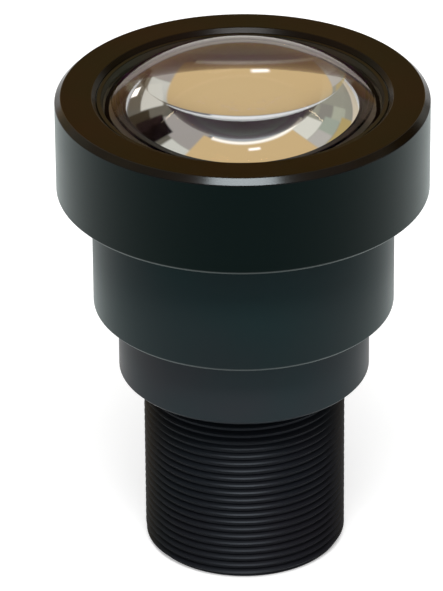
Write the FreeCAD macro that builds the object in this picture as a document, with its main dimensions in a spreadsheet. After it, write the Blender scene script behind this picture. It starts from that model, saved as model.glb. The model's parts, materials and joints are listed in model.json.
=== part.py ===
"""Board camera lens: a long six-element lens in two screwed barrels with an M12 x 0.5 mounting thread.

The lens stands on its rear end. Z is the optical axis and points out of the front glass, z = 0 is the rear
end face, and all lengths are millimetres. Every turned piece is a half section, drawn in the XZ plane and
revolved about Z. Every place in a section is a formula over the sizes in the sheet.
"""

import FreeCAD, Part
import math
import os
import re
import Sketcher
from FreeCAD import Base, Vector

doc = FreeCAD.newDocument("BoardLens")


# Driving dimensions

SIZES = [
    # outside of the two barrels
    ("thread_diameter", "12.0", "outside diameter of the mounting thread"),
    ("thread_pitch", "0.5", "pitch of the mounting thread"),
    ("thread_length", "11.37", "from the rear end face to the collar's shoulder"),
    ("thread_chamfer", "0.3", "lead-in at the rear end of the thread"),
    ("relief_length", "0.52", "plain neck between the thread and the collar"),
    ("relief_diameter", "11.1", "diameter of that neck"),
    ("collar_diameter", "14.9", "smooth collar above the thread"),
    ("collar_height", "4.41", "height of the collar"),
    ("step_diameter", "17.8", "middle step of the front barrel"),
    ("step_height", "7.49", "height of the middle step"),
    ("head_diameter", "21.9", "wide head of the front barrel"),
    ("head_height", "6.13", "height of the head"),
    ("head_chamfer", "0.36", "chamfer round the front face"),
    ("edge_chamfer", "0.22", "chamfer at the lower edge of each step"),
    ("mouth_chamfer", "0.28", "chamfer where the front face meets the glass pocket"),
    # screwed joint between the barrels
    ("spigot_diameter", "12.6", "spigot of the front barrel, inside the collar"),
    ("spigot_length", "3.0", "how far the spigot goes below the seam"),
    ("spigot_wall", "1.0", "wall of the spigot round the stop"),
    ("shim_thickness", "0.1", "shim under the spigot, sets the air space"),
    ("shim_width", "1.35", "ring width of the shim"),
    # clearances, all measured on the radius
    ("glass_gap", "0.02", "clearance round each lens element"),
    ("ring_gap", "0.02", "clearance round rings, spacers and the spigot"),
    ("free_gap", "0.1", "room left where two faces must not meet first"),
    # lens elements, from the front
    ("glass_1_diameter", "16.6", "element 1"),
    ("glass_2_diameter", "14.6", "element 2"),
    ("glass_3_diameter", "13.0", "elements 3 and 4, the cemented pair"),
    ("glass_5_diameter", "9.6", "elements 5 and 6"),
    ("dome_rise", "2.4", "how far the front glass stands above the front face"),
    ("curve_1", "12.4", "radius of the front surface of element 1"),
    ("curve_3", "10.496", "front surface of element 2"),
    ("curve_4", "14.021", "rear surface of element 2, hollow"),
    ("curve_5", "60.0", "front surface of element 3, slightly hollow"),
    ("curve_6", "26.31", "cemented surface"),
    ("curve_7", "5.3", "rear surface of element 4, deeply hollow"),
    ("curve_8", "40.0", "front surface of element 5"),
    ("curve_9", "13.516", "rear surface of element 5"),
    ("curve_10", "11.04", "front surface of element 6"),
    ("curve_11", "9.035", "rear surface of element 6, hollow"),
    ("thick_1", "4.4", "centre thickness of element 1"),
    ("air_1", "0.3", "air between elements 1 and 2"),
    ("thick_2", "2.098", "centre thickness of element 2"),
    ("air_2", "2.342", "air between elements 2 and 3"),
    ("thick_3", "1.608", "centre thickness of element 3"),
    ("thick_4", "1.0", "centre thickness of element 4"),
    ("air_4", "9.81", "air between elements 4 and 5"),
    ("thick_5", "2.199", "centre thickness of element 5"),
    ("air_5", "0.3", "air between elements 5 and 6"),
    ("thick_6", "1.1", "centre thickness of element 6"),
    ("rim_2", "0.55", "width of the flat rim on the rear of element 2"),
    ("rim_3", "0.5", "width of the flat rim on the front of element 3"),
    ("hollow_4", "7.6", "diameter of the hollow in the rear of element 4"),
    ("rim_5", "0.45", "width of the flat rim on the front of element 5"),
    # front ring and the spacers between the elements
    ("front_ring_rim", "0.2", "how far the front ring stands out past element 1"),
    ("front_ring_lap", "0.2", "how far it laps over the edge of element 1"),
    ("front_ring_cone", "0.15", "widening of its bore towards the front"),
    ("front_ring_recess", "0.25", "how far the ring lies below the front face"),
    ("spacer_1_width", "0.35", "ring width of the spacer between elements 1 and 2"),
    ("spacer_2_width", "0.5", "width of the spacer between elements 2 and 3, on element 2"),
    ("spacer_2_lap", "0.4", "how far that spacer laps over element 3"),
    ("spacer_5_width", "0.5", "ring width of the spacer between elements 5 and 6"),
    # stop and light path
    ("washer_thickness", "0.1", "washer under the cemented pair"),
    ("washer_width", "2.6", "ring width of that washer"),
    ("stop_depth", "1.35", "from the seam down to the stop's seat"),
    ("stop_shoulder", "0.7", "width of the shoulder that the stop lies on"),
    ("stop_thickness", "0.15", "thickness of the stop disc"),
    ("stop_hole", "7.0", "aperture"),
    ("stop_ring_height", "1.1", "ring that holds the stop"),
    ("stop_ring_width", "0.98", "ring width of it"),
    ("rear_shoulder", "0.42", "width of the shoulder that element 5 lies on"),
    # rear end
    ("rear_tube_width", "0.55", "wall of the tube behind element 6"),
    ("filter_thickness", "0.55", "thickness of the filter glass"),
    ("cushion_thickness", "0.15", "ring between the filter and the metal"),
    ("rear_ring_recess", "0.4", "how far the rear ring lies inside the end face"),
    ("rear_ring_height", "0.8", "height of the rear ring"),
    ("rear_ring_width", "0.8", "ring width of the rear ring and the cushion"),
    ("rear_chamfer", "0.25", "chamfer at the mouth of the rear bore"),
    # spanner slots
    ("slot_width", "1.2", "width of the spanner slots"),
    ("slot_depth", "0.3", "depth of the spanner slots"),
]

sheet = doc.addObject("Spreadsheet::Sheet", "Sizes")
for row, (alias, amount, meaning) in enumerate(SIZES, 1):
    sheet.set(f"A{row}", meaning)
    sheet.set(f"B{row}", amount)
    sheet.setAlias(f"B{row}", alias)
doc.recompute()


def bound(formula):
    """The formula with each size named as a cell of the sheet, for setExpression."""
    return re.sub(r"\b([a-z]\w*)\b(?!\()", r"Sizes.\1", formula)


def value(formula):
    """What the formula comes to with the present sizes."""
    return float(sheet.evalExpression(formula))


# Places along the optical axis

COLLAR = "thread_length"
SEAM = f"({COLLAR} + collar_height)"
HEAD = f"({SEAM} + step_height)"
FRONT = f"({HEAD} + head_height)"

VERTEX_1 = f"({FRONT} + dome_rise)"
VERTEX_2 = f"({VERTEX_1} - thick_1)"
VERTEX_3 = f"({VERTEX_2} - air_1)"
VERTEX_4 = f"({VERTEX_3} - thick_2)"
VERTEX_5 = f"({VERTEX_4} - air_2)"
VERTEX_6 = f"({VERTEX_5} - thick_3)"
VERTEX_7 = f"({VERTEX_6} - thick_4)"
VERTEX_8 = f"({VERTEX_7} - air_4)"
VERTEX_9 = f"({VERTEX_8} - thick_5)"
VERTEX_10 = f"({VERTEX_9} - air_5)"
VERTEX_11 = f"({VERTEX_10} - thick_6)"


def falls(vertex, curve, diameter):
    """Height of a glass surface at a diameter, when its centre of curvature lies towards the rear."""
    return f"({vertex} - {curve} + sqrt({curve}^2 - ({diameter} / 2)^2))"


def rises(vertex, curve, diameter):
    """The same when the centre of curvature lies towards the front."""
    return f"({vertex} + {curve} - sqrt({curve}^2 - ({diameter} / 2)^2))"


# Diameters and bores that follow from the pieces they fit

FRONT_RING = "(glass_1_diameter + 2 * front_ring_rim)"
FRONT_RING_BORE = "(glass_1_diameter - 2 * front_ring_lap)"
FRONT_RING_MOUTH = f"({FRONT_RING_BORE} + 2 * front_ring_cone)"
SPACER_1_BORE = "(glass_2_diameter - 2 * spacer_1_width)"
SPACER_2_TOP = "(glass_2_diameter - 2 * spacer_2_width)"
SPACER_2_BORE = "(glass_3_diameter - 2 * spacer_2_lap)"
SPACER_5_BORE = "(glass_5_diameter - 2 * spacer_5_width)"
WASHER_BORE = "(glass_3_diameter - 2 * washer_width)"
STOP_POCKET = "(spigot_diameter - 2 * spigot_wall)"
STOP = f"({STOP_POCKET} - 2 * ring_gap)"
STOP_RING_BORE = f"({STOP} - 2 * stop_ring_width)"
TUNNEL_FRONT = f"({STOP_POCKET} - 2 * stop_shoulder)"
SHIM_BORE = "(spigot_diameter - 2 * shim_width)"
REAR_BORE = "(glass_5_diameter + 2 * glass_gap)"
TUNNEL_REAR = f"({REAR_BORE} - 2 * rear_shoulder)"
REAR_TUBE_BORE = "(glass_5_diameter - 2 * rear_tube_width)"
REAR_RING_BORE = "(glass_5_diameter - 2 * rear_ring_width)"
RIM_2_START = "(glass_2_diameter - 2 * rim_2)"
RIM_3_START = "(glass_3_diameter - 2 * rim_3)"
RIM_5_START = "(glass_5_diameter - 2 * rim_5)"

# Heights of the seats on the glass

RIM_1_FRONT = falls(VERTEX_1, "curve_1", "glass_1_diameter")
LAND_2 = falls(VERTEX_4, "curve_4", RIM_2_START)
LAND_3 = rises(VERTEX_5, "curve_5", RIM_3_START)
LAND_4 = falls(VERTEX_7, "curve_7", "hollow_4")
LAND_5 = falls(VERTEX_8, "curve_8", RIM_5_START)

RING_TOP = f"({FRONT} - front_ring_recess)"
WASHER_SEAT = f"({LAND_4} - washer_thickness)"
STOP_SEAT = f"({SEAM} - stop_depth)"
STOP_BOTTOM = f"({STOP_SEAT} - stop_thickness)"
SPIGOT_END = f"({SEAM} - spigot_length)"
SHIM_SEAT = f"({SPIGOT_END} - shim_thickness)"

REAR_RING_TOP = "(rear_ring_recess + rear_ring_height)"
FILTER_BOTTOM = f"({REAR_RING_TOP} + cushion_thickness)"
FILTER_TOP = f"({FILTER_BOTTOM} + filter_thickness)"

THREAD_END = f"({COLLAR} - relief_length)"
# Basic profile of a metric thread: the depth is five eighths of the sharp triangle's height.
THREAD_ROOT = "(thread_diameter / 2 - 5 / 16 * sqrt(3) * thread_pitch)"
# The threaded sleeve is joined to the barrel at this radius, midway through the wall under the thread.
SLEEVE_BORE = f"(({THREAD_ROOT} + {REAR_BORE} / 2 + rear_chamfer) / 2)"


# Sections and turned pieces

ROUND = "round"


def origin_plane(body, role):
    """One of the body's own origin planes."""
    return [part for part in body.Origin.OriginFeatures if part.Role == role][0]


def arc_about_axis(start, end):
    """An arc between two points whose centre lies on the vertical axis, and whether it runs end to start."""
    (x0, z0), (x1, z1) = start, end
    centre = ((x1 ** 2 + z1 ** 2) - (x0 ** 2 + z0 ** 2)) / (2 * (z1 - z0))
    radius = math.hypot(x0, z0 - centre)
    first = math.atan2(z0 - centre, x0)
    last = math.atan2(z1 - centre, x1)
    backwards = (last - first) % (2 * math.pi) > math.pi
    if backwards:
        first, last = last, first
    circle = Part.Circle(Vector(0, centre, 0), Vector(0, 0, 1), radius)
    return Part.ArcOfCircle(circle, first, last), backwards


def section(sketch, corners):
    """Draw a closed outline through corners given as (radius, height) formulas.

    A corner that ends in ROUND starts an arc about the axis, and any other corner starts a straight line.
    """
    origin = (-1, 1)
    vertical_axis = -2
    horizontal_axis = -1
    points = [(value(corner[0]), value(corner[1])) for corner in corners]
    tails, heads = [], []
    for index, corner in enumerate(corners):
        start = points[index]
        end = points[(index + 1) % len(points)]
        if len(corner) == 3:
            shape, backwards = arc_about_axis(start, end)
            edge = sketch.addGeometry(shape, False)
            sketch.addConstraint(Sketcher.Constraint("PointOnObject", edge, 3, vertical_axis))
        else:
            edge = sketch.addGeometry(Part.LineSegment(Vector(*start, 0), Vector(*end, 0)), False)
            backwards = False
        tails.append((edge, 2 if backwards else 1))
        heads.append((edge, 1 if backwards else 2))
    for index, tail in enumerate(tails):
        sketch.addConstraint(Sketcher.Constraint("Coincident", *heads[index - 1], *tail))
    for index, (tail, corner) in enumerate(zip(tails, corners)):
        for kind, axis, formula, amount in (
            ("DistanceX", vertical_axis, corner[0], points[index][0]),
            ("DistanceY", horizontal_axis, corner[1], points[index][1]),
        ):
            if formula == "0":
                sketch.addConstraint(Sketcher.Constraint("PointOnObject", *tail, axis))
                continue
            number = sketch.addConstraint(Sketcher.Constraint(kind, *origin, *tail, amount))
            sketch.setExpression(f"Constraints[{number}]", bound(formula))


def turned(name, corners):
    """A turned piece: its half section revolved once about the optical axis."""
    body = doc.addObject("PartDesign::Body", name)
    sketch = body.newObject("Sketcher::SketchObject", f"{name}_section")
    sketch.AttachmentSupport = [(origin_plane(body, "XZ_Plane"), "")]
    sketch.MapMode = "FlatFace"
    section(sketch, corners)
    whole = body.newObject("PartDesign::Revolution", f"{name}_turned")
    whole.Profile = sketch
    whole.ReferenceAxis = (sketch, ["V_Axis"])
    whole.Angle = 360
    body.Label = name
    return body


def spanner_slots(body, name, height, diameter, from_below):
    """Mill two slots, opposite each other along Y, across a ring's end face at the given height."""
    across = f"({diameter} + 2 * slot_depth)"
    sketch = body.newObject("Sketcher::SketchObject", f"{name}_slot_outline")
    sketch.AttachmentSupport = [(origin_plane(body, "XY_Plane"), "")]
    sketch.MapMode = "FlatFace"
    sketch.setExpression("AttachmentOffset.Base.z", bound(height))
    origin = (-1, 1)
    half_width, half_length = value("slot_width") / 2, value(across) / 2
    corners = [(-1, -1), (1, -1), (1, 1), (-1, 1)]
    places = [Vector(x * half_width, y * half_length, 0) for x, y in corners]
    for index, start in enumerate(places):
        sketch.addGeometry(Part.LineSegment(start, places[(index + 1) % 4]), False)
    for index in range(4):
        sketch.addConstraint(Sketcher.Constraint("Coincident", index, 2, (index + 1) % 4, 1))
        sketch.addConstraint(Sketcher.Constraint("Vertical" if index % 2 else "Horizontal", index))
    sketch.addConstraint(Sketcher.Constraint("Symmetric", 0, 1, 2, 1, *origin))
    for kind, edge, formula in (("DistanceX", 0, "slot_width"), ("DistanceY", 1, across)):
        number = sketch.addConstraint(Sketcher.Constraint(kind, edge, 1, edge, 2, value(formula)))
        sketch.setExpression(f"Constraints[{number}]", bound(formula))
    slots = body.newObject("PartDesign::Pocket", f"{name}_slots")
    slots.Profile = sketch
    slots.Reversed = from_below
    slots.setExpression("Length", bound("slot_depth"))
    body.Tip = slots


# Lens elements

def element_1():
    """The domed front glass. Its rear surface is flat."""
    return turned("lens_element_1", [
        ("0", VERTEX_2),
        ("glass_1_diameter / 2", VERTEX_2),
        ("glass_1_diameter / 2", RIM_1_FRONT, ROUND),
        ("0", VERTEX_1),
    ])


def element_2():
    return turned("lens_element_2", [
        ("0", VERTEX_4, ROUND),
        (f"{RIM_2_START} / 2", LAND_2),
        ("glass_2_diameter / 2", LAND_2),
        ("glass_2_diameter / 2", falls(VERTEX_3, "curve_3", "glass_2_diameter"), ROUND),
        ("0", VERTEX_3),
    ])


def element_3():
    return turned("lens_element_3", [
        ("0", VERTEX_6, ROUND),
        ("glass_3_diameter / 2", rises(VERTEX_6, "curve_6", "glass_3_diameter")),
        ("glass_3_diameter / 2", LAND_3),
        (f"{RIM_3_START} / 2", LAND_3, ROUND),
        ("0", VERTEX_5),
    ])


def element_4():
    return turned("lens_element_4", [
        ("0", VERTEX_7, ROUND),
        ("hollow_4 / 2", LAND_4),
        ("glass_3_diameter / 2", LAND_4),
        ("glass_3_diameter / 2", rises(VERTEX_6, "curve_6", "glass_3_diameter"), ROUND),
        ("0", VERTEX_6),
    ])


def element_5():
    return turned("lens_element_5", [
        ("0", VERTEX_9, ROUND),
        ("glass_5_diameter / 2", rises(VERTEX_9, "curve_9", "glass_5_diameter")),
        ("glass_5_diameter / 2", LAND_5),
        (f"{RIM_5_START} / 2", LAND_5, ROUND),
        ("0", VERTEX_8),
    ])


def element_6():
    return turned("lens_element_6", [
        ("0", VERTEX_11, ROUND),
        ("glass_5_diameter / 2", falls(VERTEX_11, "curve_11", "glass_5_diameter")),
        ("glass_5_diameter / 2", falls(VERTEX_10, "curve_10", "glass_5_diameter"), ROUND),
        ("0", VERTEX_10),
    ])


# Rings and spacers

def front_retaining_ring():
    """Screwed into the mouth. Its lower edge follows the dome, so it presses on the glass all round."""
    name = "front_retaining_ring"
    ring = turned(name, [
        (f"{FRONT_RING_BORE} / 2", falls(VERTEX_1, "curve_1", FRONT_RING_BORE), ROUND),
        ("glass_1_diameter / 2", RIM_1_FRONT),
        (f"{FRONT_RING} / 2", RIM_1_FRONT),
        (f"{FRONT_RING} / 2", RING_TOP),
        (f"{FRONT_RING_MOUTH} / 2", RING_TOP),
    ])
    spanner_slots(ring, name, RING_TOP, FRONT_RING, from_below=False)
    return ring


def spacer_1_2():
    """Its upper face is flat, as element 1 is there, and its lower face is ground to the dome of element 2."""
    return turned("spacer_ring_1_2", [
        (f"{SPACER_1_BORE} / 2", falls(VERTEX_3, "curve_3", SPACER_1_BORE), ROUND),
        ("glass_2_diameter / 2", falls(VERTEX_3, "curve_3", "glass_2_diameter")),
        ("glass_2_diameter / 2", VERTEX_2),
        (f"{SPACER_1_BORE} / 2", VERTEX_2),
    ])


def spacer_2_3():
    """A flat ring with a conical bore that narrows towards element 3."""
    return turned("spacer_ring_2_3", [
        (f"{SPACER_2_BORE} / 2", LAND_3),
        ("glass_2_diameter / 2", LAND_3),
        ("glass_2_diameter / 2", LAND_2),
        (f"{SPACER_2_TOP} / 2", LAND_2),
    ])


def spacer_5_6():
    return turned("spacer_ring_5_6", [
        (f"{SPACER_5_BORE} / 2", falls(VERTEX_10, "curve_10", SPACER_5_BORE), ROUND),
        ("glass_5_diameter / 2", falls(VERTEX_10, "curve_10", "glass_5_diameter")),
        ("glass_5_diameter / 2", rises(VERTEX_9, "curve_9", "glass_5_diameter"), ROUND),
        (f"{SPACER_5_BORE} / 2", rises(VERTEX_9, "curve_9", SPACER_5_BORE)),
    ])


def flat_ring(name, bore, diameter, bottom, top):
    """A plain ring or washer between two heights."""
    return turned(name, [
        (f"{bore} / 2", bottom),
        (f"{diameter} / 2", bottom),
        (f"{diameter} / 2", top),
        (f"{bore} / 2", top),
    ])


def stop_retaining_ring():
    name = "stop_retaining_ring"
    bottom = f"({STOP_BOTTOM} - stop_ring_height)"
    ring = flat_ring(name, STOP_RING_BORE, STOP, bottom, STOP_BOTTOM)
    spanner_slots(ring, name, bottom, STOP, from_below=True)
    return ring


def rear_spacer_tube():
    """From the filter up to element 6. Its upper face is ground to the hollow of that element."""
    return turned("rear_spacer_tube", [
        (f"{REAR_TUBE_BORE} / 2", FILTER_TOP),
        ("glass_5_diameter / 2", FILTER_TOP),
        ("glass_5_diameter / 2", falls(VERTEX_11, "curve_11", "glass_5_diameter"), ROUND),
        (f"{REAR_TUBE_BORE} / 2", falls(VERTEX_11, "curve_11", REAR_TUBE_BORE)),
    ])


def ir_cut_filter():
    return turned("ir_cut_filter", [
        ("0", FILTER_BOTTOM),
        ("glass_5_diameter / 2", FILTER_BOTTOM),
        ("glass_5_diameter / 2", FILTER_TOP),
        ("0", FILTER_TOP),
    ])


def rear_retaining_ring():
    name = "rear_retaining_ring"
    ring = flat_ring(name, REAR_RING_BORE, "glass_5_diameter", "rear_ring_recess", REAR_RING_TOP)
    spanner_slots(ring, name, "rear_ring_recess", "glass_5_diameter", from_below=True)
    return ring


# Barrels

def front_barrel():
    """Head and middle step, with the front pockets from the top and a spigot below the seam."""
    pocket_1 = "(glass_1_diameter / 2 + glass_gap)"
    pocket_2 = "(glass_2_diameter / 2 + glass_gap)"
    pocket_3 = "(glass_3_diameter / 2 + glass_gap)"
    ring_bore = f"({FRONT_RING} / 2 + ring_gap)"
    stop_bore = f"{STOP_POCKET} / 2"
    return turned("front_barrel", [
        (stop_bore, SPIGOT_END),
        ("spigot_diameter / 2", SPIGOT_END),
        ("spigot_diameter / 2", SEAM),
        ("step_diameter / 2 - edge_chamfer", SEAM),
        ("step_diameter / 2", f"{SEAM} + edge_chamfer"),
        ("step_diameter / 2", HEAD),
        ("head_diameter / 2 - edge_chamfer", HEAD),
        ("head_diameter / 2", f"{HEAD} + edge_chamfer"),
        ("head_diameter / 2", f"{FRONT} - head_chamfer"),
        ("head_diameter / 2 - head_chamfer", FRONT),
        (f"{ring_bore} + mouth_chamfer", FRONT),
        (ring_bore, f"{FRONT} - mouth_chamfer"),
        (ring_bore, f"{RIM_1_FRONT} - free_gap"),
        (pocket_1, f"{RIM_1_FRONT} - free_gap"),
        (pocket_1, f"{VERTEX_2} - free_gap"),
        (pocket_2, f"{VERTEX_2} - free_gap"),
        (pocket_2, f"{LAND_3} - free_gap"),
        (pocket_3, f"{LAND_3} - free_gap"),
        (pocket_3, WASHER_SEAT),
        (f"{TUNNEL_FRONT} / 2", WASHER_SEAT),
        (f"{TUNNEL_FRONT} / 2", STOP_SEAT),
        (stop_bore, STOP_SEAT),
    ])


def rear_barrel_core():
    """Collar and neck, and the inner wall of the threaded tube.

    The shoulder is cut back round the neck as far out as the thread's crests, so that a plate whose hole clears
    the thread lies flat on it.
    """
    rear_bore = f"{REAR_BORE} / 2"
    spigot_bore = "(spigot_diameter / 2 + ring_gap)"
    undercut = "(thread_diameter / 2 + free_gap)"
    return turned("rear_barrel_core", [
        (f"{rear_bore} + rear_chamfer", "0"),
        (SLEEVE_BORE, "0"),
        (SLEEVE_BORE, THREAD_END),
        ("relief_diameter / 2", THREAD_END),
        ("relief_diameter / 2", f"{COLLAR} + free_gap"),
        (undercut, f"{COLLAR} + free_gap"),
        (undercut, COLLAR),
        ("collar_diameter / 2 - edge_chamfer", COLLAR),
        ("collar_diameter / 2", f"{COLLAR} + edge_chamfer"),
        ("collar_diameter / 2", SEAM),
        (spigot_bore, SEAM),
        (spigot_bore, SHIM_SEAT),
        (f"{TUNNEL_REAR} / 2", SHIM_SEAT),
        (f"{TUNNEL_REAR} / 2", LAND_5),
        (rear_bore, LAND_5),
        (rear_bore, "rear_chamfer"),
    ])


def thread_sleeve():
    """The threaded outside of the tube, as a sleeve sewn from quarter turns of the metric profile.

    The groove climbs one pitch a turn. Its flanks stand 30 degrees off a plane across the axis, and its flat
    root is a quarter of the pitch wide. The spare turns stand past the two ends, where the envelope, a solid
    cylinder with the lead-in chamfer, cuts the sleeve off.
    """
    pitch = value("thread_pitch")
    crest = value("thread_diameter / 2")
    root = value(THREAD_ROOT)
    bore = value(SLEEVE_BORE)
    top = value(THREAD_END)
    quarters = 4
    angle = 2 * math.pi / quarters
    climb = pitch / quarters
    flank = math.radians(30)
    half_root = pitch / 8
    half_top = half_root + (crest - root) * math.tan(flank)
    spare_turns = 3
    turns = math.ceil(top / pitch) + spare_turns
    start = -spare_turns * pitch / 2

    def corner(quarter, height):
        """A point of an unrolled cylinder, at the given quarter turn, for a height at quarter 0."""
        return Base.Vector2d(quarter * angle, height + quarter * climb)

    def wall(radius, low, high, quarter):
        """A quarter turn of a band on a cylinder."""
        surface = Part.Cylinder()
        surface.Radius = radius
        outline = [
            corner(quarter, low),
            corner(quarter + 1, low),
            corner(quarter + 1, high),
            corner(quarter, high),
        ]
        edges = []
        for index, point in enumerate(outline):
            line = Part.Geom2d.Line2dSegment(point, outline[(index + 1) % 4])
            edges.append(line.toShape(surface))
        return Part.Face(surface, Part.Wire(edges))

    def helix(radius, height, quarter):
        """A quarter turn of a helix."""
        surface = Part.Cylinder()
        surface.Radius = radius
        line = Part.Geom2d.Line2dSegment(corner(quarter, height), corner(quarter + 1, height))
        return line.toShape(surface)

    def slope(radius_a, height_a, radius_b, height_b, quarter):
        """A quarter turn of a flank, or of the ramp at an end."""
        return Part.makeRuledSurface(helix(radius_a, height_a, quarter), helix(radius_b, height_b, quarter))

    def half_disc(outline):
        """A flat face in the XZ plane, inside an outline of (radius, height) points."""
        corners = [Vector(radius, 0, height) for radius, height in outline]
        return Part.Face(Part.makePolygon(corners + corners[:1]))

    faces = []
    for number in range(turns):
        middle = start + number * pitch
        for quarter in range(quarters):
            faces.append(wall(root, middle - half_root, middle + half_root, quarter))
            faces.append(wall(crest, middle + half_top, middle + pitch - half_top, quarter))
            faces.append(slope(root, middle + half_root, crest, middle + half_top, quarter))
            faces.append(slope(root, middle + pitch - half_root, crest, middle + pitch - half_top, quarter))
    low = start - half_root
    high = low + turns * pitch
    for quarter in range(quarters):
        faces.append(wall(bore, low, high, quarter))
        faces.append(slope(bore, low, root, low, quarter))
        faces.append(slope(bore, high, root, high, quarter))
    for base in (low, high):
        middle = base + half_root
        faces.append(half_disc([
            (bore, base),
            (root, base),
            (root, middle + half_root),
            (crest, middle + half_top),
            (crest, middle + pitch - half_top),
            (root, base + pitch),
            (bore, base + pitch),
        ]))
    shell = Part.makeShell(faces)
    shell.sewShape()
    ribbed = Part.Solid(shell)
    if ribbed.Volume < 0:
        ribbed.reverse()

    chamfer = value("thread_chamfer")
    outside = crest + pitch
    half_section = half_disc([
        (0, 0),
        (crest - chamfer, 0),
        (outside, outside - crest + chamfer),
        (outside, top),
        (0, top),
    ])
    envelope = half_section.revolve(Vector(0, 0, 0), Vector(0, 0, 1), 360)

    sleeve = doc.addObject("Part::Feature", "rear_barrel_thread")
    sleeve.Shape = ribbed.common(envelope)
    sleeve.Placement = FreeCAD.Placement()
    return sleeve


def rear_barrel():
    """The collar and the threaded tube are one piece of metal."""
    joined = doc.addObject("Part::Fuse", "rear_barrel")
    joined.Base = rear_barrel_core()
    joined.Tool = thread_sleeve()
    joined.Refine = False
    joined.Label = "rear_barrel"
    return joined


# The assembly, from the front

PIECES = [
    front_barrel(),
    front_retaining_ring(),
    element_1(),
    spacer_1_2(),
    element_2(),
    spacer_2_3(),
    element_3(),
    element_4(),
    flat_ring("glare_stop_washer", WASHER_BORE, "glass_3_diameter", WASHER_SEAT, LAND_4),
    flat_ring("aperture_stop", "stop_hole", STOP, STOP_BOTTOM, STOP_SEAT),
    stop_retaining_ring(),
    flat_ring("air_space_shim", SHIM_BORE, "spigot_diameter", SHIM_SEAT, SPIGOT_END),
    rear_barrel(),
    element_5(),
    spacer_5_6(),
    element_6(),
    rear_spacer_tube(),
    ir_cut_filter(),
    flat_ring("filter_cushion_ring", REAR_RING_BORE, "glass_5_diameter", REAR_RING_TOP, FILTER_BOTTOM),
    rear_retaining_ring(),
]

doc.recompute()

for item in doc.Objects:
    if "Invalid" in item.State or "Error" in item.State:
        raise RuntimeError(f"{item.Label} failed: {item.State}")
for piece in PIECES:
    if piece.Shape.isNull() or not piece.Shape.isValid() or len(piece.Shape.Solids) != 1:
        raise RuntimeError(f"{piece.Label} isn't one sound solid")

os.makedirs("parts", exist_ok=True)
for piece in PIECES:
    piece.Shape.exportStep(f"parts/{piece.Label}.step")
    print(f"{piece.Label:22s} {piece.Shape.Volume:9.3f} mm3, z {piece.Shape.BoundBox.ZMin:7.3f}"
          f" to {piece.Shape.BoundBox.ZMax:7.3f}, {len(piece.Shape.Faces)} faces")
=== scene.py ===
# %% [markdown]
# # A board camera lens
#
# The object is a long lens that screws into the holder on a camera board. It stands on the end of its
# fine thread, and we look at it from the front and from about 29 degrees above. Two turned barrels of
# black anodised aluminium carry six glass elements, and rings and spacers hold those at their distances.
#
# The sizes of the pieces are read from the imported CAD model, which Blender loads first and then never
# moves. The lesson itself only adds what is too fine for that model, such as the small rounds on the
# edges.

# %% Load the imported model
import json

import bpy
import numpy as np
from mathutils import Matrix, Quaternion, Vector


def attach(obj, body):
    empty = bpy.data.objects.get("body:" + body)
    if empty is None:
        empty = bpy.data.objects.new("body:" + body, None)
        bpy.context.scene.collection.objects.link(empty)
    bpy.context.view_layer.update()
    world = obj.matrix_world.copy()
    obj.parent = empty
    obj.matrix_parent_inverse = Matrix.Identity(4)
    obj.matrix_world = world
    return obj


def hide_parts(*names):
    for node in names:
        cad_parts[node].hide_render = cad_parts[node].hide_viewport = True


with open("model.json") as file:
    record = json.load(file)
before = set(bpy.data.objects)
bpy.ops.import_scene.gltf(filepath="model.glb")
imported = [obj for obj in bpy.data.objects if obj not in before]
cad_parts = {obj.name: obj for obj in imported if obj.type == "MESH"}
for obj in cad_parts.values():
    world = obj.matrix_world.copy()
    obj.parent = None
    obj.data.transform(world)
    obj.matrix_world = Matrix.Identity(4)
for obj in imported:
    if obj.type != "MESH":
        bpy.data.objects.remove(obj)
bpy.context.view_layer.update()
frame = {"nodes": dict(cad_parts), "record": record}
nodes = frame["nodes"]
MM = 0.001


def corners(bounds):
    """The two corners of a box as plain lists of numbers."""
    return [[float(x) for x in corner] for corner in bounds]


# %% [markdown]
# ## Reading a turned piece
#
# A lathe makes a piece from one outline that goes once round its axis. The CAD solids were made in that
# way, and so each mesh has a seam: a row of vertices in the half plane y = 0, x > 0. Those vertices are
# the outline. We could type the sizes in again, but then the two models could drift apart, so the outline
# is read from the seam.
#
# A flat face between two circles has no vertices of its own on the seam. Its two rims have the same
# height, so loose ends of the chain are joined where their heights are equal, and an end with no partner
# runs in to the axis.

# %% The outline of a CAD node, in order
SEAM_WIDTH = 1e-6


def seam_graph(node):
    """Places (radius, height) on the seam, and the mesh edges between them.

    Places closer than SEAM_WIDTH are one.
    """
    mesh = nodes[node].data
    places = np.empty(3 * len(mesh.vertices))
    mesh.vertices.foreach_get("co", places)
    places = places.reshape(-1, 3)
    pairs = np.empty(2 * len(mesh.edges), int)
    mesh.edges.foreach_get("vertices", pairs)
    on_seam = (abs(places[:, 1]) < SEAM_WIDTH) & (places[:, 0] > -SEAM_WIDTH)
    ticks = np.round(places[:, [0, 2]] / SEAM_WIDTH).astype(int)
    _, first, merged = np.unique(ticks[on_seam], axis=0, return_index=True, return_inverse=True)
    number = np.full(len(places), -1)
    number[on_seam] = merged.ravel()
    pairs = number[pairs.reshape(-1, 2)]
    pairs = pairs[(pairs >= 0).all(1) & (pairs[:, 0] != pairs[:, 1])]
    return places[on_seam][first][:, [0, 2]], {tuple(sorted(pair)) for pair in pairs.tolist()}


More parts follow.
